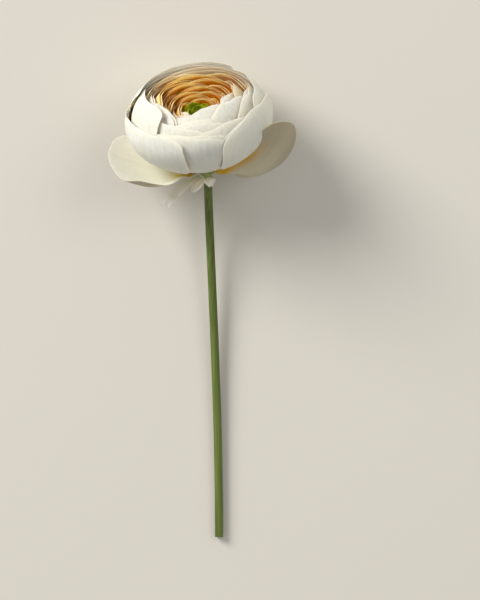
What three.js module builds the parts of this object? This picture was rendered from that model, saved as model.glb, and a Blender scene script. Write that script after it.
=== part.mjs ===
// A cut ranunculus: one open, many-petalled flower on a bare stem, lying on a flat surface.
//
// Units are millimetres and +Z is up. The stem lies along Y with the flower at its +Y end.
// The flower is modelled in a frame of its own, with its axis along +Z and its lowest petals
// at the origin, and is then laid down: it rests on its back and looks up and forward.
//
// Every petal of the ball lies on one of a family of nested shells. A shell's profile is a
// blend of the outermost bowl and the innermost bud, so two petals on two shells never cross.

import * as THREE from "three";

// ---- Driving dimensions -------------------------------------------------------------

const headRadius = 37.5; // of the ball of petals, at its widest
const bowlDepth = 0.8 * headRadius; // from the neck up to the widest level, along the flower's axis
const crownHeight = 0.427 * headRadius; // from the widest level up to the highest rims
const faceTilt = 29; // degrees that the flower's axis rises from the surface
const faceLean = 8; // degrees that the flower leans to the left of its stem

const petalCount = 44; // the white and apricot petals of the ball
const petaloidCount = 6; // the small green petals round the centre
const petalThickness = 0.35;
const goldenAngle = 137.5; // degrees from each petal to the next
const guardThickness = 0.5; // of the two petals that have opened away from the ball
const guardLength = 1.333 * headRadius; // from the flower's axis to the tip
const leftGuardHalfWidth = 0.587 * headRadius;
const rightGuardHalfWidth = 0.413 * headRadius;

const stemRadius = 2.1;
const stemLength = 185; // neck to cut, along Y
const stemDrift = 5.9; // how far the cut end lies to the right of the neck

const receptacleRadius = 5.2; // at the lowest petals
const receptacleTip = 2.3; // its radius at the highest petals
const receptacleHeight = 9.5;
const receptacleFoot = 3; // how far it tapers down to the stem, below the lowest petals
const budRadius = 5.2; // the innermost shell, round the green centre
const budHeight = 0.96 * headRadius;
const coneRadius = 3.6; // the cone of carpels
const coneHeight = budHeight - 3;
const sepalThickness = 0.4;

const clearance = 0.3; // between pieces that touch on the plant
const pressedDepth = 1; // how far the lowest petal is flattened by the surface it lies on
const pressedStep = 0.3; // how much higher each petal further in is flattened

// ---- Small helpers ------------------------------------------------------------------

const radians = THREE.MathUtils.degToRad;
const mix = THREE.MathUtils.lerp;
const smooth = THREE.MathUtils.smoothstep;

/** A smooth curve through (radius, height) points. */
function profile(points) {
  return new THREE.SplineCurve(points.map(([r, z]) => new THREE.Vector2(r, z)));
}

/** The point at an azimuth on a surface of revolution, where its profile is at (r, z). */
function turned(azimuth, at) {
  return new THREE.Vector3(at.x * Math.cos(azimuth), at.x * Math.sin(azimuth), at.y);
}

/** A thin box, bent so that it follows sheetPoint(u, v) for u from -1 to 1 and v from 0 to 1. */
function bentSheet(sheetPoint, thickness, across, along) {
  const geometry = new THREE.BoxGeometry(2, 1, thickness, across, along, 1);
  const position = geometry.getAttribute("position");
  const step = 1e-3;
  for (let i = 0; i < position.count; i++) {
    const u = position.getX(i);
    const v = position.getY(i) + 0.5;
    const uStep = u > 0 ? -step : step;
    const vStep = v > 0.5 ? -step : step;
    const here = sheetPoint(u, v);
    const acrossWay = sheetPoint(u + uStep, v).sub(here).divideScalar(uStep);
    const alongWay = sheetPoint(u, v + vStep).sub(here).divideScalar(vStep);
    const normal = acrossWay.cross(alongWay).normalize();
    here.addScaledVector(normal, position.getZ(i));
    position.setXYZ(i, here.x, here.y, here.z);
  }

  // The box's two large faces are split along opposite diagonals. The upper one is split the
  // other way, to match, so that the wall between them is equally thick all over.
  const index = geometry.getIndex().array;
  const upperFace = geometry.groups[4];
  for (let i = upperFace.start; i < upperFace.start + upperFace.count; i += 6) {
    const [a, b, d, , c] = index.slice(i, i + 6);
    index.set([a, b, c, a, c, d], i);
  }
  geometry.computeVertexNormals();
  return geometry;
}

function part(name, geometry, material) {
  const mesh = new THREE.Mesh(geometry, material.clone());
  mesh.name = name;
  return mesh;
}

// ---- Materials ----------------------------------------------------------------------

function plantMaterial(colour, roughness) {
  return new THREE.MeshStandardMaterial({ color: colour, roughness, metalness: 0 });
}

const whitePetal = plantMaterial(0xf2efe0, 0.55);
const apricotPetal = plantMaterial(0xf0c98a, 0.55);
const greenPetaloid = plantMaterial(0x7f9a3a, 0.6);
const carpelGreen = plantMaterial(0x5f7d22, 0.7);
const stemGreen = plantMaterial(0x73894a, 0.5);
const receptacleGreen = plantMaterial(0xa3ad6c, 0.6);
const sepalGreen = plantMaterial(0xb9bda0, 0.6);

// ---- The nested shells --------------------------------------------------------------

const firstSeat = receptacleRadius + clearance + petalThickness / 2;
const lastSeat = receptacleTip + clearance + petalThickness / 2;
const seatHeight = 1; // of the lowest petals of the ball

/** Height of a level of the ball: 0 is the neck, 1 the widest level, 2 the highest rims. */
function level(h) {
  return h <= 1 ? h * bowlDepth : bowlDepth + (h - 1) * crownHeight;
}

const lowerBowl = [
  [firstSeat, seatHeight],
  [0.38 * headRadius, level(0.17)],
  [0.68 * headRadius, level(0.37)],
  [0.92 * headRadius, level(0.66)],
  [headRadius, level(1)],
];

// The back of the flower stands open and its front closes over the centre.
const openBowl = profile([
  ...lowerBowl,
  [0.96 * headRadius, level(1.6)],
  [0.86 * headRadius, level(2)],
]);
const closedBowl = profile([
  ...lowerBowl,
  [0.84 * headRadius, level(1.66)],
  [0.48 * headRadius, level(2.1)],
]);
const budProfile = profile([
  [lastSeat, receptacleHeight],
  [0.72 * budRadius, 0.37 * budHeight],
  [0.9 * budRadius, 0.54 * budHeight],
  [budRadius, 0.7 * budHeight],
  [budRadius, 0.84 * budHeight],
  [0.85 * budRadius, 0.93 * budHeight],
  [0.54 * budRadius, budHeight],
]);

/** 1 at the front of the flower, which faces up as it lies, and 0 at its back. */
function frontness(azimuth) {
  return 0.5 - 0.5 * Math.sin(azimuth);
}

/** The point at azimuth and t on a shell, which is 1 for the outermost bowl and 0 for the bud. */
function shellPoint(shell, azimuth, t) {
  const bowl = openBowl.getPoint(t).lerp(closedBowl.getPoint(t), frontness(azimuth));
  return turned(azimuth, budProfile.getPoint(t).lerp(bowl, shell));
}

// ---- The surface the flower lies on ---------------------------------------------------

const surfaceUp = new THREE.Vector3(0, -Math.cos(radians(faceTilt)), Math.sin(radians(faceTilt)));

/** How far the lowest point of the outermost shell is below the neck, as the flower lies. */
function depthOfBowl() {
  let lowest = 0;
  for (let t = 0; t <= 1; t += 0.01) {
    lowest = Math.min(lowest, shellPoint(1, Math.PI / 2, t).dot(surfaceUp));
  }
  return -lowest;
}

const neckHeight = depthOfBowl() - pressedDepth + petalThickness / 2;

/** Lifts a point to its petal's own level over the surface, where the surface presses it flat. */
function pressed(point, order) {
  const floor = petalThickness / 2 + order * pressedStep;
  const sunk = floor - (point.dot(surfaceUp) + neckHeight);
  if (sunk > 0) point.addScaledVector(surfaceUp, sunk);
  return point;
}

// ---- The petals of the ball -----------------------------------------------------------

/** Everything that sets one petal's shape. order counts from the outermost petal inwards. */
function petalShape(order) {
  const shell = 1 - order / (petalCount + petaloidCount - 1);
  const azimuth = radians(195 + order * goldenAngle);
  const innerReach = mix(0.9, 0.97, smooth(shell, 0.1, 0.6));
  const outerReach = mix(0.97, 0.72, frontness(azimuth));
  const tallBack = 0.06 * (1 - frontness(azimuth)) * smooth(shell, 0.9, 0.96);
  return {
    order,
    shell,
    azimuth,
    halfWidth: radians(mix(60, 44, shell)),
    baseHalfWidth: radians(mix(14, 22, shell)),
    reach: mix(innerReach, outerReach, smooth(shell, 0.6, 1)) + tallBack,
  };
}

/** The point of a petal at u across it, from -1 to 1, and v along it, from 0 to 1. */
function petalPoint(shape, u, v) {
  const cornerDrop = 0.2 * Math.abs(u) ** 2.5;
  const t = v * shape.reach * (1 - cornerDrop);
  const spread = mix(shape.baseHalfWidth, shape.halfWidth, smooth(v, 0, 0.65));
  return pressed(shellPoint(shape.shell, shape.azimuth + u * spread, t), shape.order);
}

function petal(name, shape, material, across, along) {
  const sheet = (u, v) => petalPoint(shape, u, v);
  return part(name, bentSheet(sheet, petalThickness, across, along), material);
}

function ballPetals() {
  const made = [];
  for (let order = 0; order < petalCount; order++) {
    const shape = petalShape(order);
    const large = shape.shell > 0.5;
    const name = "petal_" + String(order + 1).padStart(2, "0");
    const material = large ? whitePetal : apricotPetal;
    made.push(petal(name, shape, material, large ? 7 : 6, large ? 9 : 7));
  }
  for (let n = 0; n < petaloidCount; n++) {
    const shape = petalShape(petalCount + n);
    made.push(petal("green_petaloid_" + (n + 1), shape, greenPetaloid, 4, 6));
  }
  return made;
}

// ---- Blades: the guard petals and the sepals --------------------------------------------

/** A thin blade that grows outwards at an azimuth. Its midline is a curve of (radius, height).
 * roll turns it about its midline, cup raises its long edges, round and fork shape its tip. */
function blade(name, material, thickness, shape) {
  const { azimuth, midline, halfWidth, base, widest, roll, cup, round, taper, fork, cells } = shape;
  const outward = turned(azimuth, new THREE.Vector2(1, 0));
  const sideways = turned(azimuth + Math.PI / 2, new THREE.Vector2(1, 0));
  const upward = new THREE.Vector3(0, 0, 1);
  const sheet = (u, v) => {
    const t = v * (1 - round * Math.abs(u) ** 3 - fork * (1 - u * u));
    const at = midline.getPoint(t);
    const along = midline.getTangent(t);
    const inward = outward.clone().multiplyScalar(-along.y).addScaledVector(upward, along.x);
    const turn = roll * smooth(v, 0, 0.4);
    const width = halfWidth * mix(base, 1, smooth(v, 0, widest)) * (1 - taper * v ** 3);
    const across = u * width;
    const rise = cup * width * u * u;
    return outward
      .clone()
      .multiplyScalar(at.x)
      .addScaledVector(upward, at.y)
      .addScaledVector(sideways, across * Math.cos(turn) + rise * Math.sin(turn))
      .addScaledVector(inward, rise * Math.cos(turn) - across * Math.sin(turn));
  };
  return part(name, bentSheet(sheet, thickness, ...cells), material);
}

/** The left guard petal spreads almost flat; the right one is cupped and stands on its edge. */
function guardPetals() {
  const common = { base: 0.11, taper: 0, fork: 0, cells: [10, 9] };
  const left = {
    azimuth: radians(182),
    midline: profile([
      [firstSeat, 0],
      [0.28 * guardLength, 0.04 * guardLength],
      [0.52 * guardLength, 0.12 * guardLength],
      [0.76 * guardLength, 0.24 * guardLength],
      [guardLength, 0.38 * guardLength],
    ]),
    halfWidth: leftGuardHalfWidth,
    widest: 0.8,
    roll: 0,
    cup: 0.1,
    round: 0.36,
    ...common,
  };
  const right = {
    azimuth: radians(-27),
    midline: profile([
      [firstSeat, 0],
      [0.4 * guardLength, -0.01 * guardLength],
      [0.69 * guardLength, 0.1 * guardLength],
      [0.82 * guardLength, 0.29 * guardLength],
      [0.83 * guardLength, 0.49 * guardLength],
    ]),
    halfWidth: rightGuardHalfWidth,
    widest: 0.75,
    roll: radians(36),
    cup: 0.16,
    round: 0.36,
    ...common,
  };
  return [
    blade("guard_petal_left", whitePetal, guardThickness, left),
    blade("guard_petal_right", whitePetal, guardThickness, right),
  ];
}

/** A sepal that bends down from under the petals to a tip at a radius and a height. */
function sepal(name, azimuth, reach, drop, halfWidth, fork) {
  const seat = new THREE.Vector2(0.75 * receptacleRadius + clearance + 0.4, -1.6);
  const bend = new THREE.Vector2(mix(seat.x, reach, 0.55), seat.y);
  return blade(name, sepalGreen, sepalThickness, {
    azimuth: radians(azimuth),
    midline: new THREE.QuadraticBezierCurve(seat, bend, new THREE.Vector2(reach, drop)),
    halfWidth,
    base: 0.5,
    widest: 0.5,
    roll: 0,
    cup: -0.25,
    round: 0,
    taper: fork ? 0.35 : 0.8,
    fork,
    cells: [4, 7],
  });
}

// ---- Receptacle, cone of carpels and stem ---------------------------------------------

function lathed(name, points, material, segments) {
  const outline = points.map(([r, z]) => new THREE.Vector2(r, z));
  const geometry = new THREE.LatheGeometry(outline, segments).rotateX(Math.PI / 2);
  return part(name, geometry, material);
}

function receptacle() {
  const outline = [
    [0, -receptacleFoot],
    [1.1 * stemRadius, -receptacleFoot],
    [0.75 * receptacleRadius, -0.45 * receptacleFoot],
    [receptacleRadius, 0.2],
    [receptacleRadius, seatHeight],
    [receptacleTip, receptacleHeight],
    [0, receptacleHeight + 0.5],
  ];
  return lathed("receptacle", outline, receptacleGreen, 24);
}

function carpelCone() {
  const foot = receptacleHeight + 0.5 + clearance;
  const outline = [
    [0, foot],
    [0.45 * coneRadius, foot],
    [0.6 * coneRadius, mix(foot, coneHeight, 0.3)],
    [0.9 * coneRadius, mix(foot, coneHeight, 0.65)],
    [coneRadius, mix(foot, coneHeight, 0.85)],
    [0.7 * coneRadius, mix(foot, coneHeight, 0.96)],
    [0, coneHeight],
  ];
  return lathed("carpel_cone", outline, carpelGreen, 20);
}

/** The stem leaves the receptacle along the flower's axis and comes down to lie on its cut end. */
function stem(neck) {
  const start = neck.clone();
  const cut = new THREE.Vector3(stemDrift, -stemLength, stemRadius);
  const underNeck = new THREE.Vector3(0.5, -30, neck.z - 30 * Math.tan(radians(0.8 * faceTilt)));
  const alongSurface = new THREE.Vector3(stemDrift, -110, stemRadius);
  const path = new THREE.CubicBezierCurve3(start, underNeck, alongSurface, cut);
  const section = new THREE.Shape().absarc(0, 0, stemRadius, 0, 2 * Math.PI);
  const options = { steps: 22, curveSegments: 8, bevelEnabled: false, extrudePath: path };
  return part("stem", new THREE.ExtrudeGeometry(section, options), stemGreen);
}

// ---- Assembly -------------------------------------------------------------------------

const head = new THREE.Group();
head.add(...ballPetals());
head.add(...guardPetals());
head.add(sepal("sepal_long", -155, 27.5, -12, 2.2, 0.16));
head.add(sepal("sepal_pointed", -124, 15.5, -5, 1.8, 0));
head.add(sepal("sepal_lobe", -84, 8.5, -5.5, 2.8, 0));
head.add(sepal("sepal_hidden_1", 40, 13, -4.5, 2, 0));
head.add(sepal("sepal_hidden_2", 130, 12, -5, 2, 0));
head.add(receptacle());
head.add(carpelCone());
head.rotation.set(radians(faceTilt - 90), 0, radians(faceLean), "ZXY");
head.position.z = neckHeight;
head.updateMatrixWorld(true);

const neck = new THREE.Vector3(0, 0, -receptacleFoot - clearance).applyMatrix4(head.matrixWorld);

const flower = new THREE.Group();
flower.name = "cut_ranunculus";
flower.add(head);
flower.add(stem(neck));

// The origin is the middle of the footprint, on the surface that the flower lies on.
const room = new THREE.Box3().setFromObject(flower, true);
const middle = room.getCenter(new THREE.Vector3());
for (const piece of flower.children) {
  piece.position.sub(new THREE.Vector3(middle.x, middle.y, room.min.z));
}

export default flower;
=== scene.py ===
# %% [markdown]
# # A cut ranunculus lying on a table
#
# This lesson builds one ranunculus: a ball of thin petals wrapped round each other, two petals
# that have opened away from it, and a bare stem. A simple solid model of it is already packed.
# Here each of those solids gives way to a finer piece in about the same place, with a real
# finish. Some petals are broader than their solids, by up to 15 mm at an edge.

# %% Load the solid model
import math
import random

import bpy
import numpy as np
from mathutils import Matrix, Vector


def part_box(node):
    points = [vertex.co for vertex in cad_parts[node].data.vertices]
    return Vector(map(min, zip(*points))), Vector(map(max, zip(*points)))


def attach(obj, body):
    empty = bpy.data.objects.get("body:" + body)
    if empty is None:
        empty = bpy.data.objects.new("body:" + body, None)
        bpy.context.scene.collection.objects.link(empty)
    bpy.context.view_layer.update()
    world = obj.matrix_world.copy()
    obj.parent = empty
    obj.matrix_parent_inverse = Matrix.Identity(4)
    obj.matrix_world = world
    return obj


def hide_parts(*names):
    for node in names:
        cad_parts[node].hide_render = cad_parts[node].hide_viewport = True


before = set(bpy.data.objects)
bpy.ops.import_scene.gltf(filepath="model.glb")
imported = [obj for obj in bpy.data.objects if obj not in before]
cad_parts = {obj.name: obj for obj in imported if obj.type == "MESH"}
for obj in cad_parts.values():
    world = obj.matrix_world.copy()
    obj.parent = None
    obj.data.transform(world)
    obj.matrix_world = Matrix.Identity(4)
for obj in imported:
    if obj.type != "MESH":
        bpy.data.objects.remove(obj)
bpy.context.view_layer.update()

# %% [markdown]
# ## Sizes
#
# A ranunculus is measured in millimetres and Blender works in metres, so one constant joins the
# two. The sizes are the plant's own: a ball 75 mm wide, petals thinner than paper card, and a
# stem as thick as a drinking straw. Except for the petals' thickness, the solid model has the
# same ones.

# %% Sizes of the flower, in millimetres
MM = 0.001
HEAD_RADIUS = 37.5
BOWL_DEPTH = 0.8 * HEAD_RADIUS
CROWN_HEIGHT = 0.427 * HEAD_RADIUS
FACE_TILT = math.radians(29)
FACE_LEAN = math.radians(8)
PETALS = 44
PETALOIDS = 6
GOLDEN_ANGLE = 137.5
SOLID_THICKNESS = 0.35
PETAL_THICKNESS = 0.2
GUARD_LENGTH = 1.333 * HEAD_RADIUS
STEM_RADIUS = 2.1
STEM_LENGTH = 185
STEM_DRIFT = 5.9
RECEPTACLE_RADIUS = 5.2
RECEPTACLE_TIP = 2.3
RECEPTACLE_HEIGHT = 9.5
RECEPTACLE_FOOT = 3
BUD_RADIUS = 5.2
BUD_HEIGHT = 0.96 * HEAD_RADIUS
CLEARANCE = 0.3
PRESSED_DEPTH = 1
PRESSED_STEP = 0.3
print("petals:", PETALS, "petaloids:", PETALOIDS, "ball:", 2 * HEAD_RADIUS, "mm wide")

# %% [markdown]
# ## Small tools
#
# Three habits make a script safe to run again. Everything is deselected before a shape is added,
# because operators act on all that is selected. Each finished object sits at the origin with its
# place in its mesh. And each hides the solid that it stands for.

# %% Tools for adding and finishing a piece


def only(obj):
    """Selects one object and nothing else."""
    bpy.ops.object.select_all(action="DESELECT")
    obj.select_set(True)
    bpy.context.view_layer.objects.active = obj


def own_copy(obj, name):
    """A copy of an object with its own mesh."""
    copy = obj.copy()
    copy.data = obj.data.copy()
    copy.name = copy.data.name = name
    bpy.context.scene.collection.objects.link(copy)
    return copy


def apply_modifiers(obj):
    """Makes every modifier's result the mesh itself."""
    only(obj)
    for modifier in list(obj.modifiers):
        bpy.ops.object.modifier_apply(modifier=modifier.name)


def finished(obj, slot, *solids):
    """The piece rides on the one body and stands for its solids, which are hidden. slot is not
    used.
    """
    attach(obj, "root")
    if solids:
        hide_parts(*solids)
    return obj


def coordinates(obj):
    """The places of a mesh's vertices, one row each."""
    found = np.empty(len(obj.data.vertices) * 3)
    obj.data.vertices.foreach_get("co", found)
    return found.reshape(-1, 3)


def move_vertices(obj, places):
    """Puts each vertex of a mesh at its row of places."""
    obj.data.vertices.foreach_set("co", np.asarray(places, float).ravel())
    obj.data.update()


# %% [markdown]
# ## Colour and nodes
#
# Colours are written as they look on a screen, so one function turns them into the linear values
# that light is reckoned in. One more function adds a node with its settings and its links, and
# every material below is built with it. Patterns read Object coordinates, in metres, so a scale
# of 1 / (size in mm * 0.001) gives a pattern of that size, whatever the piece.

# %% Tools for materials


def srgb(code):
    """A linear colour from a hex code such as #f2efe0."""
    values = [int(code[i : i + 2], 16) / 255 for i in (1, 3, 5)]
    linear = [v / 12.92 if v <= 0.04045 else ((v + 0.055) / 1.055) ** 2.4 for v in values]
    return (*linear, 1.0)


def add_node(tree, kind, settings=None, **inputs):
    """Adds a node. settings are its properties; inputs are values or sockets to link."""
    node = tree.nodes.new(kind)
    for key, value in (settings or {}).items():
        setattr(node, key, value)
    for key, value in inputs.items():
        socket = node.inputs[int(key[1:]) if key[1:].isdigit() else key.replace("_", " ")]
        if isinstance(value, bpy.types.NodeSocket):
            tree.links.new(value, socket)
        else:
            socket.default_value = value
    return node


def new_material(name):
    """A material with an empty node tree."""
    material = bpy.data.materials.new(name)
    material.use_nodes = True
    material.node_tree.nodes.clear()
    return material, material.node_tree


def ramp(tree, factor, stops):
    """A colour ramp from a socket, with stops of (position, hex colour)."""
    node = add_node(tree, "ShaderNodeValToRGB", i0=factor)
    band = node.color_ramp
    band.interpolation = "EASE"
    while len(band.elements) < len(stops):
        band.elements.new(0.5)
    for element, (position, code) in zip(band.elements, stops):
        element.position = position
        element.color = srgb(code)
    return node.outputs["Color"]


def mixed(tree, factor, first, second, blend="MIX"):
    """One colour mixed over another, by a value or a socket."""
    settings = {"data_type": "RGBA", "blend_type": blend}
    node = add_node(tree, "ShaderNodeMix", settings, i0=factor, i6=first, i7=second)
    return node.outputs[2]


# %% [markdown]
# ## Where the petals lie
#
# A ranunculus packs its petals by the golden angle: each one grows 137.5 degrees round from the
# last and a little further in. Nearly a hundred sheets can't be bent by eye without crossing
# each other, so their places are worked out instead. Every petal lies on a shell, and a shell's
# outline is a blend of the outermost bowl and the innermost bud. Two shells never cross, so
# petals that keep to their shells don't either. Near its rim a petal leans in by up to a shell
# or so, and there it may cut a little into the next one. The flower's own frame has its axis up
# and the neck at zero.

# %% The nested shells


def smooth(x, low, high):
    """0 below low, 1 above high, a soft step between, and the reverse if low is the greater."""
    t = np.clip((x - low) / (high - low), 0, 1)
    return t * t * (3 - 2 * t)


def mix(a, b, t):
    """a at t = 0, b at t = 1 and a straight line between."""
    return a + (b - a) * t


def along_curve(points, t):
    """The place at t, from 0 to 1, on a smooth curve through (radius, height) points."""
    p = np.array(points, float)
    last = len(p) - 1
    s = np.clip(np.asarray(t, float), 0, 1) * last
    i = np.minimum(s.astype(int), last - 1)
    w = (s - i)[..., None]
    p0, p1, p2, p3 = p[np.maximum(i - 1, 0)], p[i], p[i + 1], p[np.minimum(i + 2, last)]
    v1, v2 = (p2 - p0) / 2, (p3 - p1) / 2
    cubic = (2 * p1 - 2 * p2 + v1 + v2) * w**3
    return cubic + (-3 * p1 + 3 * p2 - 2 * v1 - v2) * w**2 + v1 * w + p1


def level(h):
    """Height of a level: 0 is the neck, 1 the widest level and 2 the highest rims."""
    return h * BOWL_DEPTH if h <= 1 else BOWL_DEPTH + (h - 1) * CROWN_HEIGHT


FIRST_SEAT = RECEPTACLE_RADIUS + CLEARANCE + SOLID_THICKNESS / 2
LAST_SEAT = RECEPTACLE_TIP + CLEARANCE + SOLID_THICKNESS / 2
LOWER_BOWL = [
    (FIRST_SEAT, 1),
    (0.38 * HEAD_RADIUS, level(0.17)),
    (0.68 * HEAD_RADIUS, level(0.37)),
    (0.92 * HEAD_RADIUS, level(0.66)),
    (HEAD_RADIUS, level(1)),
]
OPEN_BOWL = LOWER_BOWL + [(0.96 * HEAD_RADIUS, level(1.6)), (0.86 * HEAD_RADIUS, level(2))]
CLOSED_BOWL = LOWER_BOWL + [(0.84 * HEAD_RADIUS, level(1.66)), (0.48 * HEAD_RADIUS, level(2.1))]
BUD = [
    (LAST_SEAT, RECEPTACLE_HEIGHT),
    (0.72 * BUD_RADIUS, 0.37 * BUD_HEIGHT),
    (0.9 * BUD_RADIUS, 0.54 * BUD_HEIGHT),
    (BUD_RADIUS, 0.7 * BUD_HEIGHT),
    (BUD_RADIUS, 0.84 * BUD_HEIGHT),
    (0.85 * BUD_RADIUS, 0.93 * BUD_HEIGHT),
    (0.54 * BUD_RADIUS, BUD_HEIGHT),
]


def frontness(azimuth):
    """1 at the front of the flower, which faces up as it lies, and 0 at its back."""
    return 0.5 - 0.5 * np.sin(azimuth)


def on_shell(shell, azimuth, t):
    """Places on a shell, which is 1 for the outermost bowl and 0 for the bud."""
    front = frontness(azimuth)[..., None]
    bowl = mix(along_curve(OPEN_BOWL, t), along_curve(CLOSED_BOWL, t), front)
    r, z = np.moveaxis(mix(along_curve(BUD, t), bowl, shell), -1, 0)
    return np.stack([r * np.cos(azimuth), r * np.sin(azimuth), z], axis=-1)


print("outermost bowl:", [round(float(x), 1) for x in on_shell(1, np.zeros(1), np.ones(1))[0]])

# %% [markdown]
# ## Where the flower lies
#
# The flower lies on its back and looks up and forward, so its frame is tilted and leans to the
# left. The cut end of the stem, which the solid model gives, says where the neck is. The table
# presses the lowest petals flat, each one a little higher than the one outside it.

# %% The flower's frame on the table

surface_up = np.array([0, -math.cos(FACE_TILT), math.sin(FACE_TILT)])
under_side = on_shell(1, np.full(101, math.pi / 2), np.linspace(0, 1, 101)) @ surface_up
neck_height = -under_side.min() - PRESSED_DEPTH + SOLID_THICKNESS / 2

stem_low, stem_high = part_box("stem")
cut_end = Vector((stem_high.x / MM - STEM_RADIUS, stem_low.y / MM, stem_low.z / MM + STEM_RADIUS))
neck = cut_end + Vector((-STEM_DRIFT, STEM_LENGTH, neck_height - STEM_RADIUS))
flower_frame = Matrix.Translation(neck)
flower_frame @= Matrix.Rotation(FACE_LEAN, 4, "Z")
flower_frame @= Matrix.Rotation(FACE_TILT - math.pi / 2, 4, "X")
to_row = np.array(flower_frame)


def laid_down(places):
    """Places of the flower's frame, in millimetres, as they are on the table, in metres."""
    return (places @ to_row[:3, :3].T + to_row[:3, 3]) * MM


def pressed(places, order):
    """Lifts places to the petal's own level where the table presses it flat."""
    floor = SOLID_THICKNESS / 2 + order * PRESSED_STEP
    sunk = np.maximum(floor - (places @ surface_up + neck_height), 0)
    return places + sunk[..., None] * surface_up


print("neck at", [round(x, 2) for x in neck], "mm")

# %% [markdown]
# ## One flat petal
#
# A petal starts as a flat sheet. A grid is the right primitive, because bending needs rows and
# columns of faces, and it comes with a UV map: across the petal one way, and from its base to
# its rim the other. It is modelled once, and every petal of the flower is a copy that is bent.

# %% The flat sheet


def flat_sheet(name, across, along):
    """A flat grid, 2 wide and 1 long, with its base edge at y = 0."""
    bpy.ops.object.select_all(action="DESELECT")
    bpy.ops.mesh.primitive_grid_add(
        x_subdivisions=across, y_subdivisions=along, size=2, calc_uvs=True
    )
    sheet = bpy.context.object
    sheet.name = sheet.data.name = name
    bpy.ops.object.mode_set(mode="EDIT")
    bpy.ops.mesh.select_all(action="SELECT")
    bpy.ops.transform.resize(value=(1, 0.5, 1), center_override=(0, 0, 0))
    bpy.ops.transform.translate(value=(0, 0.5, 0))
    bpy.ops.object.mode_set(mode="OBJECT")
    return sheet


large_sheet = flat_sheet("flat_petal", 26, 26)
small_sheet = flat_sheet("flat_petaloid", 14, 20)
print("flat petal:", len(large_sheet.data.polygons), "faces")

# %% [markdown]
# ## What sets a petal's shape
#
# Each petal has a place in the spiral, and most of its shape follows from that: the outer ones
# are broad bowls, and the inner ones narrow and wrap further round. At the front they stop short,
# so the flower's middle shows. Their widths are angles round the axis, and their lengths are
# shares of the shell's own outline.

# %% A petal's place and size
SHELL_STEP = 1 / (PETALS + PETALOIDS - 1)
FIRST_AZIMUTH = 195


def towards(azimuth, degrees, edge, middle):
    """1 for a petal that grows towards an azimuth, and a soft fall to 0 away from it."""
    return float(smooth(math.cos(azimuth - math.radians(degrees)), edge, middle))


def petal_reach(shell, azimuth, front):
    """How far up its shell a petal comes: 0 is its seat and 1 the highest rims."""
    inner = mix(0.9, 0.97, smooth(shell, 0.1, 0.6)) - 0.05 * front * smooth(shell, 0.7, 0.3)
    # The opening looks down and to the left, so the inner petals are shorter on that side.
    inner -= 0.11 * towards(azimuth, 228, 0.3, 1) * smooth(shell, 0.1, 0.4)
    left = towards(azimuth, 180, 0.6, 1)
    inner -= 0.05 * left * smooth(shell, 0.2, 0.4) * smooth(shell, 0.65, 0.5)
    outer = mix(0.97, 0.73, front)
    tall_back = 0.06 * (1 - front) * smooth(shell, 0.9, 0.96)
    reach = mix(inner, outer, smooth(shell, 0.6, 1)) + tall_back
    reach += 0.05 * left * smooth(shell, 0.6, 0.75) * smooth(shell, 1, 0.95)
    reach -= 0.07 * left * smooth(shell, 0.96, 1)
    return reach


def petal_shape(order, layer=0):
    """What sets a petal's shape. order counts inwards; layer 1 is the petal tucked behind it."""
    sequence = random.Random(500 + 10 * order + layer)
    shell = 1 - order * SHELL_STEP
    azimuth = math.radians(FIRST_AZIMUTH + order * GOLDEN_ANGLE)
    front = float(frontness(azimuth))
    reach = petal_reach(shell, azimuth, front)
    # The outer petals at the back are broad, and those at the left broad and evenly rounded.
    broad_back = float((1 - front) * smooth(shell, 0.75, 0.92))
    broad_left = towards(azimuth, 188, 0.2, 0.8) * float(smooth(shell, 0.15, 0.3))
    return {
        "seed": 100 * order + layer,
        "order": order + layer,
        "shell": shell - layer * SHELL_STEP,
        "azimuth": azimuth + layer * math.radians(sequence.uniform(-7, 7)),
        "half_width": math.radians(mix(60, 44, shell))
        * (1 - 0.05 * layer + 0.3 * broad_back)
        * (1 + 0.22 * broad_left),
        "base_half_width": math.radians(mix(14, 22, shell)),
        "reach": min(reach + layer * (sequence.uniform(-0.005, 0.03) - 0.1 * broad_back), 1),
        "shoulder": mix(0.38, 0.3, shell) * (1 - 0.75 * broad_back) * (1 - 0.55 * broad_left),
        "lean_in": layer * 0.8 + 0.4,
    }


outermost = petal_shape(0)
print("outermost petal reaches", round(outermost["reach"], 2), "of the way up its shell")

# %% [markdown]
# ## Bending a petal onto its shell
#
# A real petal is never the even shape that a formula gives. Its rim is wavy and a little torn,
# one shoulder is higher than the other, and fine folds run up from its base. Each copy draws
# these from a random sequence of its own, so the flower is the same on every run. The folds
# stay smaller than the gap between two shells. Each solid stands for two thin petals, one tucked
# just behind the other, so the ball looks as full as a real one.

# %% Bend a copy of the flat petal


def waves(x, sequence, count, lowest, highest):
    """A few sine waves of random length and phase, added up to about 1."""
    total = np.zeros_like(x)
    for _ in range(count):
        turns = sequence.uniform(lowest, highest)
        total += np.sin(turns * x + sequence.uniform(0, 2 * math.pi)) / count
    return total


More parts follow.
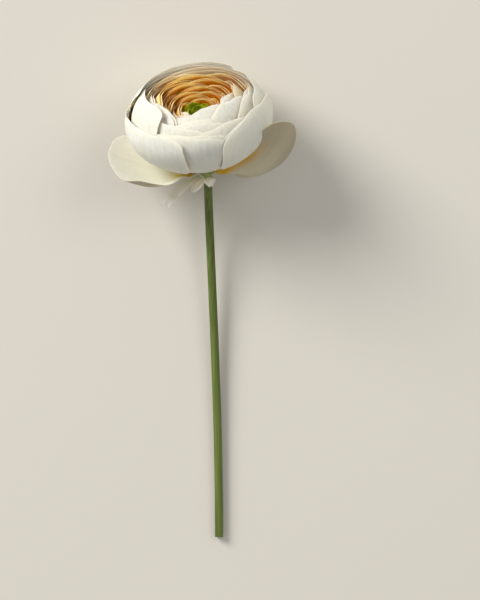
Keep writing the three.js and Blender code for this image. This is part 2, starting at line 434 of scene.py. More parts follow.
def bent_petal(shape, u, v):
    """Places of a petal at u across it, from -1 to 1, and v along it, from 0 to 1."""
    sequence = random.Random(shape["seed"])
    u = 0.35 * u + 0.65 * np.sin(u * math.pi / 2)
    rim = 0.012 * waves(u, sequence, 3, 3, 11) + 0.02 * sequence.uniform(-1, 1) * u
    notch_at, notch_depth = sequence.uniform(-0.6, 0.6), sequence.uniform(0.0, 0.03)
    rim -= notch_depth * np.exp(-(((u - notch_at) / 0.09) ** 2))
    round_top = 1 - (1 - np.minimum(np.abs(u), 1) ** 2.1) ** (1 / 2.1)
    t = v * shape["reach"] * (1 - shape["shoulder"] * round_top)
    t += rim * smooth(v, 0.3, 1) * (1 - np.abs(u) ** 4)
    spread = mix(shape["base_half_width"], shape["half_width"], smooth(v, 0, 0.65))
    spread = spread * (1 + 0.02 * waves(v, sequence, 2, 5, 14) * smooth(v, 0.1, 0.5))
    azimuth = shape["azimuth"] + u * spread
    folds = waves(u, sequence, 3, 5, 16) * smooth(v, 0.1, 0.9)
    swell = waves(2 * v + u, sequence, 2, 2, 5)
    shift = (0.2 * folds + 0.12 * swell) / HEAD_RADIUS
    near_rim = np.maximum(smooth(v, 0.6, 1), smooth(np.abs(u), 0.6, 1) * smooth(v, 0.1, 0.4))
    shell = shape["shell"] - shape["lean_in"] * near_rim * SHELL_STEP
    places = on_shell(np.maximum(shell, 0)[..., None], azimuth, t)
    places[..., :2] *= (1 + shift * smooth(v, 0.05, 0.4))[..., None]
    return pressed(places, shape["order"])


rim_middle = bent_petal(outermost, np.zeros(1), np.ones(1))[0]
print("middle of the outermost rim:", [round(float(x), 1) for x in rim_middle], "mm")

# %% [markdown]
# ## Thickness
#
# A bent sheet has no thickness, and it would cast a wrong shadow and export as one face with two
# sides. Solidify gives it both faces and a rim, with a material for each face, and one level of
# subdivision rounds it. Two petals that one solid stands for are then joined.

# %% Thicken a petal and join its layers


def write_attributes(obj, **values):
    """Writes one value for the whole petal under each name, for its materials to read."""
    for name, value in values.items():
        attribute = obj.data.attributes.new(name, "FLOAT", "POINT")
        attribute.data.foreach_set("value", np.full(len(obj.data.vertices), value, np.float32))


def thin_sheet(obj, thickness, levels):
    """Gives a bent sheet its thickness and smooths it."""
    solid = obj.modifiers.new("thickness", "SOLIDIFY")
    solid.thickness = thickness * MM
    solid.offset = 0
    solid.material_offset = 1
    smoothing = obj.modifiers.new("smoothing", "SUBSURF")
    smoothing.levels = smoothing.render_levels = levels
    apply_modifiers(obj)
    obj.data.polygons.foreach_set("use_smooth", np.ones(len(obj.data.polygons), bool))


def bend_and_thicken(sheet, name, shape, faces):
    """One finished petal: a bent copy of a flat sheet, with its outer and inner materials."""
    petal = own_copy(sheet, name)
    for material in faces:
        petal.data.materials.append(material)
    flat = coordinates(petal)
    move_vertices(petal, laid_down(bent_petal(shape, flat[:, 0], flat[:, 1])))
    thin_sheet(petal, PETAL_THICKNESS, 1)
    depth = 1 - shape["shell"]
    # Deep petals are partly apricot outside, but only those at the back are warmed, a painted
    # warm glow of the orange cup; those at the front stay ivory.
    at_back = 1 - frontness(shape["azimuth"])
    write_attributes(petal, depth=depth, warmth=depth * at_back**2 * 1.7)
    return petal


def join(first, *others):
    """Joins objects into the first one."""
    bpy.ops.object.select_all(action="DESELECT")
    for obj in (first, *others):
        obj.select_set(True)
    bpy.context.view_layer.objects.active = first
    bpy.ops.object.join()
    return first


def make_petals(sheet, name, shapes, slot, solid_name, faces):
    """The petals that one solid stands for, joined into one piece."""
    layers = [bend_and_thicken(sheet, name, shape, faces) for shape in shapes]
    return finished(join(*layers) if len(layers) > 1 else layers[0], slot, solid_name)


# %% [markdown]
# ## Petal finish
#
# A petal is a skin of water-filled cells with a waxy surface. Light goes into it, scatters and
# comes out on both sides. A translucent shader would need many bounces between so many sheets,
# so the light is scattered under the skin instead, over about half a millimetre. Fine veins run
# up the petal about a millimetre apart, as slightly darker lines and a faint relief. The outer
# face is ivory. The inner face turns apricot towards the middle of the flower, and every petal
# is yellow at its base; the deeper orange at the base of the inner face is partly painted shade.
# How deep a petal sits is written on it as an attribute, which its materials read, so two
# materials serve the whole ball.

# %% A petal's skin


def petal_material(name, stops_out, stops_in, relief, fades_by="depth", margin=None):
    """Petal skin: waxy, soft and lit through. The roughness gives a broad, weak highlight.

    stops_out colours a petal from base to rim where the attribute is low, and stops_in where
    it is high. margin paints a glow: a golden band beside the left edge, below the tip, that
    stands in for light coming through the petals.
    """
    material, tree = new_material(name)
    uv = add_node(tree, "ShaderNodeUVMap", {"uv_map": "UVMap"}).outputs["UV"]
    parts = add_node(tree, "ShaderNodeSeparateXYZ", i0=uv)
    depth = add_node(tree, "ShaderNodeAttribute", {"attribute_name": fades_by}).outputs["Fac"]
    place = add_node(tree, "ShaderNodeTexCoord").outputs["Object"]

    # Blotches about 6 mm across shift where each colour begins, as on any living petal.
    blotch = add_node(tree, "ShaderNodeTexNoise", Vector=place, Scale=170.0, Detail=3.0)
    shift = add_node(
        tree, "ShaderNodeMapRange", Value=blotch.outputs["Fac"], To_Min=-0.07, To_Max=0.07
    )
    along = add_node(
        tree, "ShaderNodeMath", {"operation": "ADD"}, i0=parts.outputs["Y"], i1=shift.outputs[0]
    ).outputs[0]
    outside = ramp(tree, along, stops_out)
    inside = ramp(tree, along, stops_in)
    deep = add_node(
        tree, "ShaderNodeMapRange", Value=depth, From_Min=0.12, From_Max=0.34
    ).outputs[0]
    colour = mixed(tree, deep, outside, inside)

    # A painted glow: the margin band is coloured gold where light would shine through the petals.
    if margin:
        side = add_node(
            tree, "ShaderNodeMapRange", Value=parts.outputs["X"], From_Min=0.44, From_Max=0.3
        )
        below_tip = add_node(
            tree, "ShaderNodeMapRange", Value=parts.outputs["Y"], From_Min=0.85, From_Max=0.6
        )
        both = add_node(
            tree,
            "ShaderNodeMath",
            {"operation": "MULTIPLY"},
            i0=side.outputs[0],
            i1=below_tip.outputs[0],
        )
        colour = mixed(tree, both.outputs[0], colour, srgb(margin))

    # Some 45 veins fan out over the width of a petal and wander a little on their way up.
    fan = add_node(tree, "ShaderNodeMapping", Vector=uv, Scale=(45.0, 2.2, 1.0))
    vein = add_node(
        tree, "ShaderNodeTexNoise", Vector=fan.outputs[0], Scale=1.0, Detail=4.0, Roughness=0.6
    )
    line = add_node(
        tree, "ShaderNodeMapRange", Value=vein.outputs["Fac"], From_Min=0.38, From_Max=0.62
    ).outputs[0]
    shaded = mixed(tree, 0.5, colour, srgb("#cfc6a4"), "MULTIPLY")
    veined = mixed(tree, 0.22, colour, mixed(tree, line, shaded, colour))

    bump = add_node(tree, "ShaderNodeBump", Strength=relief, Distance=0.00025, Height=line)
    skin = add_node(
        tree,
        "ShaderNodeBsdfPrincipled",
        Base_Color=veined,
        Roughness=0.5,
        IOR=1.42,
        Specular_IOR_Level=0.18,
        Subsurface_Weight=1.0,
        Subsurface_Radius=(1.0, 0.95, 0.85),
        Subsurface_Scale=0.6 * MM,
        Normal=bump.outputs[0],
    )
    add_node(tree, "ShaderNodeOutputMaterial", Surface=skin.outputs[0])
    return material


# %% [markdown]
# The colours run from the base of a petal, at 0, to its rim, at 1. Outside it is yellow at the
# base and ivory above. Inside, the outermost petals are apricot below and ivory only near the
# rim, and the inner ones are apricot to the very edge. The deep orange at the base of the inner
# face is partly the petal's colour and partly painted shade of the cup, and the near-white rims
# are partly painted light. Outside, deep petals at the back are warmed as well, a painted warm
# glow.

# %% Petal colours
ivory_stops = [(0.0, "#dccb58"), (0.16, "#e9e0a8"), (0.4, "#f0ecd6"), (1.0, "#f4f1e0")]
# Outside, the apricot of deep petals is warmed at the back only: partly their colour, partly a
# painted warm glow.
apricot_and_glow_stops = [(0.0, "#e08800"), (0.3, "#f8a010"), (0.8, "#ffb030"), (1.0, "#fcd898")]
# Inside, the deep orange at the base is partly the petal's colour and partly painted shade of the
# cup, and the near-white rims are partly painted light.
ivory_inside_painted_light_and_shade = [(0.0, "#dc9600"), (0.54, "#faa010"), (0.72, "#fdc468"), (0.86, "#fffaf0")]
apricot_stops_painted_shade = [(0.0, "#c86c00"), (0.5, "#fa9800"), (0.88, "#ffa608"), (1.0, "#ffd890")]

outer_face = petal_material(
    "ivory petal skin, outer face", ivory_stops, apricot_and_glow_stops, 0.35, fades_by="warmth"
)
inner_face = petal_material("apricot petal skin, inner face, painted shade at base", ivory_inside_painted_light_and_shade, apricot_stops_painted_shade, 0.35)
print("petal materials:", outer_face.name, "and", inner_face.name)

# %% [markdown]
# ## Green petaloids
#
# The innermost petals of a ranunculus stay small, thick and green, and close over the carpels.
# They are the same kind of sheet on the last shells, with a finish of their own.

# %% A patchy skin, and the greens


def patchy_skin(name, dark, light, patch_mm, roughness):
    """A matt skin in patches of two tones, with a fine grain that breaks up its highlight."""
    material, tree = new_material(name)
    place = add_node(tree, "ShaderNodeTexCoord").outputs["Object"]
    patch = add_node(
        tree, "ShaderNodeTexNoise", Vector=place, Scale=1 / (patch_mm * MM), Detail=4.0
    )
    colour = ramp(tree, patch.outputs["Fac"], [(0.35, dark), (0.68, light)])
    grain = add_node(
        tree, "ShaderNodeTexNoise", Vector=place, Scale=6 / (patch_mm * MM), Detail=3.0
    )
    bump = add_node(
        tree, "ShaderNodeBump", Strength=0.4, Distance=0.0002, Height=grain.outputs["Fac"]
    )
    skin = add_node(
        tree,
        "ShaderNodeBsdfPrincipled",
        Base_Color=colour,
        Roughness=roughness,
        Normal=bump.outputs[0],
    )
    add_node(tree, "ShaderNodeOutputMaterial", Surface=skin.outputs[0])
    return material


petaloid_green = patchy_skin("green petaloid skin", "#98a812", "#dce632", 2.5, 0.5)
carpel_green = patchy_skin("carpel skin, waxy green", "#647c06", "#b4cc1c", 1.2, 0.45)
print("green finishes:", petaloid_green.name, "and", carpel_green.name)

# %% [markdown]
# ## The whole ball
#
# Now every petal is bent from the same flat sheet and laid in its place, from the outside in.
# Every petal, in the outer half and the inner half alike, takes the same two materials.
# The two petals that one solid stands for are joined, so each solid gives way to one piece.

# %% Lay all the petals of the ball
ball = []
for order in range(PETALS):
    number = f"{order + 1:02d}"
    shapes = [petal_shape(order), petal_shape(order, layer=1)]
    slot = "white_petal" if shapes[0]["shell"] > 0.5 else "apricot_petal"
    name = "wrapped_petal_" + number
    faces = (outer_face, inner_face)
    ball.append(make_petals(large_sheet, name, shapes, slot, "petal_" + number, faces))
for n in range(PETALOIDS):
    shapes = [petal_shape(PETALS + n)]
    name, solid = f"petaloid_{n + 1}", f"green_petaloid_{n + 1}"
    faces = (petaloid_green, petaloid_green)
    ball.append(make_petals(small_sheet, name, shapes, "green_petaloid", solid, faces))
print(len(ball), "petals laid,", sum(len(p.data.polygons) for p in ball), "faces")

# %% [markdown]
# ## Guard petals and sepals
#
# The two oldest petals have let go of the ball. The left one spreads out almost flat, and the
# right one is cupped and stands on its edge. Under them five thin sepals bend back. All are
# blades: a strip that follows a curved midline, turned about it, with its long edges raised.

# %% Bend a sheet into a blade


def bent_blade(blade, u, v):
    """Places of a blade at u across and v along, in the flower's frame."""
    u = 0.2 * u + 0.8 * np.sin(u * math.pi / 2)
    angle = math.radians(blade["azimuth"])
    outward = np.array([math.cos(angle), math.sin(angle), 0])
    sideways = np.array([-math.sin(angle), math.cos(angle), 0])
    upward = np.array([0, 0, 1])
    sequence = random.Random(blade["seed"])
    edge = blade["ragged"] * (waves(u, sequence, 3, 3, 13) - 1) * smooth(v, 0.4, 1)
    half_round = 1 - np.sqrt(np.maximum(1 - u * u, 0))
    t = v * (1 - blade["round"] * half_round - blade["fork"] * (1 - u * u) + edge)
    at = along_curve(blade["midline"], t)
    ahead = along_curve(blade["midline"], t + 0.002)
    behind = along_curve(blade["midline"], t - 0.002)
    way = ahead - behind
    way /= np.linalg.norm(way, axis=-1, keepdims=True)
    inward = -way[:, 1:2] * outward + way[:, 0:1] * upward
    turn = blade["roll"] * smooth(v, 0, 0.4)
    width = blade["half_width"] * mix(blade["base"], 1, smooth(v, 0, blade["widest"]))
    width = width * (1 - blade["taper"] * v**3)
    folds = blade["folds"] * waves(u, sequence, 3, 3, 9) * smooth(v, 0.15, 0.9)
    folds += 0.6 * blade["folds"] * waves(2 * v + u, sequence, 2, 2, 6)
    across = u * width
    rise = blade["cup"] * width * u * u + folds * smooth(v, 0.05, 0.4)
    margin = smooth(u, 0.7, 1) * smooth(v, 0.1, 0.4)
    across = across - 0.4 * blade["folded"] * margin**2
    rise = rise + blade["folded"] * margin**2
    side = across * np.cos(turn) + rise * np.sin(turn)
    lift = rise * np.cos(turn) - across * np.sin(turn)
    places = at[:, 0:1] * outward + at[:, 1:2] * upward
    return places + side[:, None] * sideways + lift[:, None] * inward


def make_blade(sheet, name, blade, slot, solid_name, faces, thickness):
    """One finished blade, bent from a copy of a flat sheet."""
    piece = own_copy(sheet, name)
    for material in faces:
        piece.data.materials.append(material)
    flat = coordinates(piece)
    move_vertices(piece, laid_down(bent_blade(blade, flat[:, 0], flat[:, 1])))
    thin_sheet(piece, thickness, 1)
    write_attributes(piece, depth=0)
    return finished(piece, slot, solid_name)


def midline(*shares):
    """A guard petal's midline, from its seat, in shares of its length."""
    return [(FIRST_SEAT, 0)] + [(a * GUARD_LENGTH, b * GUARD_LENGTH) for a, b in shares]


# %% [markdown]
# The guard petals are the same flat sheet again, bent as blades. Their long edges are rolled and
# cupped by different amounts, which is why one lies open and the other stands on its edge. They
# keep to no shell, and the right one cuts into the ball where they meet. The lower edge of the
# left one is folded up. The right one has a golden band painted where it leaves the ball, a
# painted glow for light that comes through the petals there.

# %% The two guard petals
guard_common = {"base": 0.11, "taper": 0, "fork": 0, "ragged": 0.012, "folds": 0.5}
# Above the yellow base, the grey-brown that darkens towards the tip is painted shade: the right
# guard petal lies in the ball's shadow.
guard_stops_painted_shade = [(0.0, "#c9ab22"), (0.14, "#dcd4a4"), (0.3, "#cdc5aa"), (1.0, "#b6ae98")]
guard_inside = [(0.0, "#d6a516"), (0.22, "#e8d478"), (0.4, "#e6e5d8"), (1.0, "#e6e6de")]
guard_outer_painted_shade = petal_material("guard petal skin, outer face, painted shade", guard_stops_painted_shade, guard_stops_painted_shade, 0.4)
guard_inner = petal_material("guard petal skin, inner face", guard_inside, guard_inside, 0.4)
# The right guard's skin has a golden band painted where it leaves the ball, a painted glow over
# its painted shade.
guard_painted_shade_and_glow = petal_material(
    "guard petal skin, painted shade, painted glow at one edge", guard_stops_painted_shade, guard_stops_painted_shade, 0.4, margin="#c99a10"
)
left_guard = {
    **guard_common,
    "seed": 7,
    "azimuth": 182,
    "midline": midline((0.28, 0.03), (0.52, 0.1), (0.76, 0.21), (0.96, 0.34)),
    "half_width": 0.7 * HEAD_RADIUS,
    "widest": 0.78,
    "roll": math.radians(8),
    "cup": 0.1,
    "round": 0.4,
    "folded": 4.5,
}
right_guard = {
    **guard_common,
    "seed": 12,
    "azimuth": -27,
    "midline": midline((0.3, -0.01), (0.57, 0.12), (0.79, 0.36), (0.91, 0.63)),
    "half_width": 0.42 * HEAD_RADIUS,
    "widest": 0.38,
    "roll": math.radians(43),
    "cup": 0.16,
    "round": 0.6,
    "folded": 0,
}
for side, blade, outer in (
    ("left", left_guard, guard_outer_painted_shade),
    ("right", right_guard, guard_painted_shade_and_glow),
):
    make_blade(
        large_sheet,
        "open_petal_" + side,
        blade,
        "guard_petal",
        "guard_petal_" + side,
        (outer, guard_inner),
        0.28,
    )
print("guard petals laid")

# %% [markdown]
# ## Sepals
#
# A ranunculus sepal is papery and pale, half dry by the time the flower is full blown. It is
# bent like a guard petal, narrower and with a ragged tip. The longest one is forked. Dry paper
# has no wax, so its skin is rough and has only broad patches of two pale tones.

# %% The five sepals
sepal_skin = patchy_skin("papery sepal skin", "#f0eee2", "#fcfaf2", 9.0, 0.6)


def sepal_blade(seed, azimuth, reach, drop, half_width, fork):
    """A sepal that bends down from under the petals to a tip at a radius and a height."""
    seat = np.array([0.75 * RECEPTACLE_RADIUS + CLEARANCE + 0.4, -1.6])
    bend = np.array([mix(seat[0], reach, 0.55), seat[1]])
    tip = np.array([reach, drop])
    steps = np.linspace(0, 1, 9)[:, None]
    curve = (1 - steps) ** 2 * seat + 2 * steps * (1 - steps) * bend + steps**2 * tip
    return {
        "seed": seed,
        "azimuth": azimuth,
        "midline": curve.tolist(),
        "half_width": half_width,
        "base": 0.5,
        "widest": 0.5,
        "roll": 0,
        "cup": -0.25,
        "round": 0,
        "folded": 0,
        "taper": 0.2 if fork else 0.75,
        "fork": fork,
        "ragged": 0.05,
        "folds": 0.25,
    }


sepals = {
    "long": sepal_blade(21, -155, 27.5, -12, 3.9, 0.16),
    "pointed": sepal_blade(22, -124, 15.5, -5, 3.3, 0),
    "lobe": sepal_blade(23, -84, 8.5, -5.5, 3.4, 0),
    "hidden_1": sepal_blade(24, 40, 13, -4.5, 2, 0),
    "hidden_2": sepal_blade(25, 130, 12, -5, 2, 0),
}
for name, blade in sepals.items():
    faces = (sepal_skin, sepal_skin)
    make_blade(small_sheet, "papery_sepal_" + name, blade, "sepal", "sepal_" + name, faces, 0.25)
print(len(sepals), "sepals laid")

# %% [markdown]
# ## Stem
#
# The stem is a smooth green stalk. A Bezier curve with a round bevel is the quickest way to make
# one, because its whole run is set by two handles. It is then made a mesh, so that the faint
# ribs that run along a living stem can be raised and the cut end can be given its pale pith.

# %% The stem as a curve, then as a mesh


def to_vector(point):
    """A point in millimetres as a vector in metres."""
    return Vector(point) * MM


neck_end = flower_frame @ Vector((0, 0, -RECEPTACLE_FOOT - CLEARANCE))
root = Vector((neck.x, neck.y, 0))
under_neck = root + Vector((0.5, -30, neck_end.z - 30 * math.tan(0.8 * FACE_TILT)))
on_table = root + Vector((STEM_DRIFT, -110, STEM_RADIUS))

bpy.ops.object.select_all(action="DESELECT")
bpy.ops.curve.primitive_bezier_curve_add()
stalk = bpy.context.object
stalk.name = stalk.data.name = "green_stem"
start, end = stalk.data.splines[0].bezier_points
for point in (start, end):
    point.handle_left_type = point.handle_right_type = "FREE"
start.co, start.handle_right = to_vector(neck_end), to_vector(under_neck)
start.handle_left = to_vector(2 * neck_end - under_neck)
end.co, end.handle_left = to_vector(cut_end), to_vector(on_table)
end.handle_right = to_vector(2 * cut_end - on_table)
stalk.data.resolution_u = 90
stalk.data.bevel_depth = STEM_RADIUS * MM
stalk.data.bevel_resolution = 14
stalk.data.use_fill_caps = True
only(stalk)
bpy.ops.object.convert(target="MESH")
bpy.ops.object.mode_set(mode="EDIT")
bpy.ops.mesh.select_all(action="SELECT")
bpy.ops.mesh.remove_doubles(threshold=1e-6)
bpy.ops.mesh.normals_make_consistent(inside=False)
bpy.ops.object.mode_set(mode="OBJECT")
print("stalk:", len(stalk.data.vertices), "vertices")

# %% [markdown]
# The ribs are raised by moving each vertex outwards from the middle of its ring. They are only
# four hundredths of a millimetre high. The soft pith at the cut end dries and shrinks back from
# the skin, and that comes after the finish, because the pith has a material of its own.

# %% Ribs


def raise_ribs(obj, middle_of, height, count):
    """Raises ribs that run along a stalk, height millimetres above its round skin."""
    places = coordinates(obj) / MM
    centres = middle_of(places)
    arms = places - centres
    angle = np.arctan2(arms[:, 2], arms[:, 0])
    grow = 1 + height * np.cos(count * angle) / STEM_RADIUS
    move_vertices(obj, (centres + arms * grow[:, None]) * MM)


def stem_middles(places):
    """The point of the stem's own line that is nearest to each vertex."""
    s = np.linspace(0, 1, 400)[:, None]
    a, b, c, d = (np.array(p) for p in (neck_end, under_neck, on_table, cut_end))
    line = (1 - s) ** 3 * a + 3 * (1 - s) ** 2 * s * b + 3 * (1 - s) * s**2 * c + s**3 * d
    nearest = np.argmin(((places[:, None] - line[None]) ** 2).sum(-1), axis=1)
    return line[nearest]


raise_ribs(stalk, stem_middles, 0.04, 11)
print("stem:", len(stalk.data.polygons), "faces")

# %% [markdown]
# The stalk's skin is green with a bloom of wax. Its fibres run along it, so the noise patterns
# are stretched along the stem: streaks about 1 mm wide and 40 mm long, over patches that are
# 8 mm wide and 70 mm long. The wax keeps it smoother than a petal, so its highlight is narrower.

# %% Stem finish


def stem_material():
    """Waxy green stalk skin: long streaks of sage and olive, and a soft narrow highlight."""
    material, tree = new_material("waxy stem skin")
    place = add_node(tree, "ShaderNodeTexCoord").outputs["Object"]
    fine = add_node(tree, "ShaderNodeMapping", Vector=place, Scale=(900.0, 25.0, 900.0))
    fibre = add_node(tree, "ShaderNodeTexNoise", Vector=fine.outputs[0], Scale=1.0, Detail=4.0)
    broad = add_node(tree, "ShaderNodeMapping", Vector=place, Scale=(120.0, 14.0, 120.0))
    patch = add_node(tree, "ShaderNodeTexNoise", Vector=broad.outputs[0], Scale=1.0, Detail=3.0)
    green = ramp(tree, patch.outputs["Fac"], [(0.3, "#4c5c1c"), (0.7, "#66772e")])
    streaks = ramp(tree, fibre.outputs["Fac"], [(0.35, "#384712"), (0.7, "#788648")])
    streaked = mixed(tree, 0.35, green, streaks)
    bump = add_node(
        tree, "ShaderNodeBump", Strength=0.35, Distance=0.0002, Height=fibre.outputs["Fac"]
    )
    skin = add_node(
        tree,
        "ShaderNodeBsdfPrincipled",
        Base_Color=streaked,
        Roughness=0.42,
        IOR=1.45,
        Normal=bump.outputs[0],
    )
    add_node(tree, "ShaderNodeOutputMaterial", Surface=skin.outputs[0])
    return material


pith = patchy_skin("cut pith", "#a9b077", "#d5d8a8", 0.6, 0.7)
stalk.data.materials.append(stem_material())
stalk.data.materials.append(pith)

# %% [markdown]
# The cut face is the only one that looks straight along the stem, so its normal finds it. It is
# inset twice: once for the width of the skin, and once more, sunk, for the pith.

# %% The cut end
only(stalk)
bpy.ops.object.mode_set(mode="EDIT")
bpy.ops.mesh.select_all(action="DESELECT")
bpy.ops.object.mode_set(mode="OBJECT")
for face in stalk.data.polygons:
    face.select = face.normal.y < -0.9
bpy.ops.object.mode_set(mode="EDIT")
bpy.ops.mesh.inset(thickness=0.35 * MM, depth=0)
bpy.ops.mesh.inset(thickness=0.15 * MM, depth=-0.25 * MM)
stalk.active_material_index = 1
bpy.ops.object.material_slot_assign()
bpy.ops.object.mode_set(mode="OBJECT")
only(stalk)
bpy.ops.object.shade_smooth_by_angle(angle=math.radians(40))
finished(stalk, "stem", "stem")
print("stem finished")

# %% [markdown]
# ## Receptacle
#
# Inside the flower the stem swells into a small cone, the receptacle, that every petal grows
# from. A disc is drawn at its foot and pulled up ring by ring, and each ring is scaled to the
# cone's radius there, as on a lathe. Only a little of it shows under the sepals.

# %% A turned piece from a disc


def turned_piece(name, outline, sides):
    """Pulls a disc up through (radius, height) rings, in the flower's frame."""
    bpy.ops.object.select_all(action="DESELECT")
    radius, height = outline[0]
    bpy.ops.mesh.primitive_circle_add(
        vertices=sides, radius=radius, fill_type="NGON", location=(0, 0, height)
    )
    piece = bpy.context.object
    piece.name = piece.data.name = name
    bpy.ops.object.transform_apply(location=True, rotation=False, scale=False)
    bpy.ops.object.mode_set(mode="EDIT")
    bpy.ops.mesh.select_all(action="SELECT")
    for next_radius, next_height in outline[1:]:
        bpy.ops.mesh.extrude_region_move(
            TRANSFORM_OT_translate={"value": (0, 0, next_height - height)}
        )
        share = next_radius / radius
        bpy.ops.transform.resize(value=(share, share, 1), center_override=(0, 0, next_height))
        radius, height = next_radius, next_height
    bpy.ops.mesh.select_all(action="SELECT")
    bpy.ops.mesh.normals_make_consistent(inside=False)
    bpy.ops.object.mode_set(mode="OBJECT")
    return piece


receptacle_outline = [
    (1.1 * STEM_RADIUS, -RECEPTACLE_FOOT),
    (0.75 * RECEPTACLE_RADIUS, -0.45 * RECEPTACLE_FOOT),
    (RECEPTACLE_RADIUS, 0.2),
    (RECEPTACLE_RADIUS, 1),
    (mix(RECEPTACLE_RADIUS, RECEPTACLE_TIP, 0.5), mix(1, RECEPTACLE_HEIGHT, 0.5)),
    (RECEPTACLE_TIP, RECEPTACLE_HEIGHT),
    (0.3, RECEPTACLE_HEIGHT + 0.5),
]
base_of_flower = turned_piece("receptacle_cone", receptacle_outline, 32)
rounding = base_of_flower.modifiers.new("rounding", "BEVEL")
rounding.width = 0.2
rounding.segments = 2
rounding.limit_method = "ANGLE"
apply_modifiers(base_of_flower)
move_vertices(base_of_flower, laid_down(coordinates(base_of_flower)))
only(base_of_flower)
bpy.ops.object.shade_smooth_by_angle(angle=math.radians(50))
base_of_flower.data.materials.append(
    patchy_skin("receptacle skin, pale green", "#8f9a55", "#b7bd80", 2.0, 0.55)
)
finished(base_of_flower, "receptacle", "receptacle")

# %% [markdown]
# ## Carpels
#
# In the very middle sits a cone of carpels, each a green teardrop with a tiny beak. One carpel
# is modelled from a sphere that is drawn out to a point, and copies of it are set round the cone
# by the same golden angle as the petals.

# %% One carpel, copied over the cone
CONE_RADIUS = 3.6
CONE_HEIGHT = BUD_HEIGHT - 3
cone_foot = RECEPTACLE_HEIGHT + 0.5 + CLEARANCE
column_outline = [
    (0.45 * CONE_RADIUS, cone_foot),
    (0.5 * CONE_RADIUS, mix(cone_foot, CONE_HEIGHT, 0.3)),
    (0.7 * CONE_RADIUS, mix(cone_foot, CONE_HEIGHT, 0.65)),
    (0.75 * CONE_RADIUS, mix(cone_foot, CONE_HEIGHT, 0.82)),
    (0.35 * CONE_RADIUS, mix(cone_foot, CONE_HEIGHT, 0.93)),
    (0.1 * CONE_RADIUS, mix(cone_foot, CONE_HEIGHT, 0.95)),
]
carpels = turned_piece("carpels", column_outline, 24)
bpy.ops.object.select_all(action="DESELECT")
bpy.ops.mesh.primitive_ico_sphere_add(subdivisions=2, radius=1)
carpel = bpy.context.object
shape_of_carpel = coordinates(carpel)
beak = smooth(shape_of_carpel[:, 2], 0.2, 1)
shape_of_carpel[:, :2] *= (1 - 0.75 * beak)[:, None]
shape_of_carpel[:, 2] += 0.7 * beak
shape_of_carpel *= np.array([0.5, 0.42, 0.75])
move_vertices(carpel, shape_of_carpel)

copies = []
CARPELS = 90
for n in range(CARPELS):
    share = (n + 0.5) / CARPELS
    polar = math.acos(1 - 0.95 * share)
    spot = Vector((math.sin(polar), 0, math.cos(polar)))
    spot.rotate(Matrix.Rotation(math.radians(n * GOLDEN_ANGLE), 3, "Z"))
    centre = Vector((0, 0, mix(cone_foot, CONE_HEIGHT, 0.78)))
    place = centre + spot * Vector((0.68 * CONE_RADIUS, 0.68 * CONE_RADIUS, 3.6))
    one = own_copy(carpel, f"carpel_{n}")
    aim = (spot + Vector((0, 0, 0.6))).to_track_quat("Z", "Y").to_matrix().to_4x4()
    one.data.transform(Matrix.Translation(place) @ aim @ Matrix.Scale(mix(0.75, 1.1, share), 4))
    copies.append(one)
bpy.data.objects.remove(carpel)
join(carpels, *copies)
move_vertices(carpels, laid_down(coordinates(carpels)))
carpels.data.polygons.foreach_set("use_smooth", np.ones(len(carpels.data.polygons), bool))
carpels.data.materials.append(carpel_green)
finished(carpels, "carpels", "carpel_cone")
print(CARPELS, "carpels set,", len(carpels.data.polygons), "faces")

for spare in (large_sheet, small_sheet):
    bpy.data.objects.remove(spare)

# %% [markdown]
# ## Table
#
# The flower lies on a plain pale sheet of matt paper. Paper is rough, so it shows no highlight,
# and its fibres are about a millimetre long and hardly differ in tone.

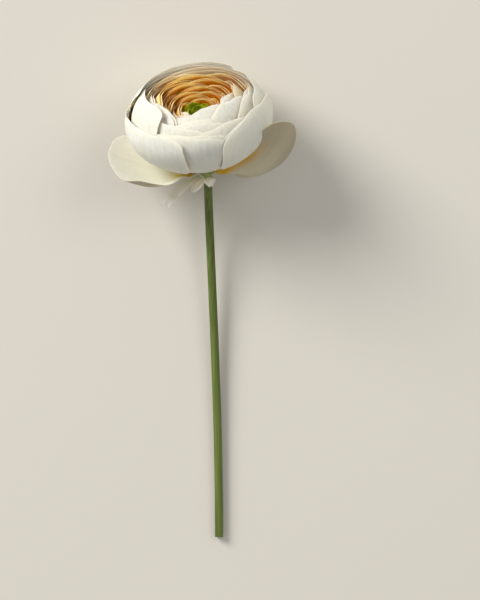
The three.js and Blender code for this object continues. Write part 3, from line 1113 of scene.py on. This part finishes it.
# %% The table
bpy.ops.object.select_all(action="DESELECT")
bpy.ops.mesh.primitive_plane_add(size=6, location=(0, 0, 0))
table = bpy.context.object
table.name = table.data.name = "table"
paper, tree = new_material("matt greige paper")
place = add_node(tree, "ShaderNodeTexCoord").outputs["Object"]
fibres = add_node(tree, "ShaderNodeTexNoise", Vector=place, Scale=900.0, Detail=4.0)
tone = mixed(tree, fibres.outputs["Fac"], srgb("#dad6cd"), srgb("#ddd9d0"))
sheet_skin = add_node(tree, "ShaderNodeBsdfPrincipled", Base_Color=tone, Roughness=0.9)
add_node(tree, "ShaderNodeOutputMaterial", Surface=sheet_skin.outputs[0])
table.data.materials.append(paper)

# %% [markdown]
# ## Light
#
# A big round lamp stands up and to the left, four metres and more away, where a window would be.
# So far off it lights the whole table evenly, and its size keeps the shadows soft. A weak lamp on
# the other side and the pale room fill the shadows. The Standard view shows a white petal as
# white, where the default one, made for bright scenes, would turn it grey.

# %% Light


def soft_lamp(name, place, size, power, colour):
    """A round area lamp, size metres across, that looks at the flower."""
    bpy.ops.object.select_all(action="DESELECT")
    bpy.ops.object.light_add(type="AREA", location=place)
    lamp = bpy.context.object
    lamp.name = name
    lamp.data.shape = "DISK"
    lamp.data.size = size
    lamp.data.energy = power
    lamp.data.color = srgb(colour)[:3]
    aim = Vector((0, 0.09, 0.03)) - lamp.location
    lamp.rotation_euler = aim.to_track_quat("-Z", "Y").to_euler()
    return lamp


soft_lamp("window_light", (-3.04, 2.32, 2.32), 2.3, 192, "#fffcf6")
soft_lamp("fill_light", (2.4, 1.1, 2.9), 2.2, 24, "#fffaf2")
world = bpy.data.worlds.new("pale room")
bpy.context.scene.world = world
bpy.context.scene.view_settings.view_transform = "Standard"
world.use_nodes = True
world.node_tree.nodes["Background"].inputs["Color"].default_value = srgb("#f6f6f6")
world.node_tree.nodes["Background"].inputs["Strength"].default_value = 0.43

# %% [markdown]
# ## Camera
#
# The camera looks straight down, because a flower that lies on a table is seen from above. It
# stands well back with a long lens, so the ball, which is nearer than the stem, isn't enlarged.
# The lens is set by how many millimetres of the table fit in the height of the frame.

# %% Camera
FRAME_HEIGHT = 300
CAMERA_HEIGHT = 1500
bpy.ops.object.select_all(action="DESELECT")
bpy.ops.object.camera_add(location=to_vector((neck.x + 16.5, neck.y - 65, CAMERA_HEIGHT + 22)))
camera = bpy.context.object
camera.rotation_euler = (0, 0, 0)
camera.data.sensor_fit = "VERTICAL"
camera.data.angle = 2 * math.atan(FRAME_HEIGHT / 2 / CAMERA_HEIGHT)
bpy.context.scene.camera = camera
print("camera at", [round(x, 3) for x in camera.location])
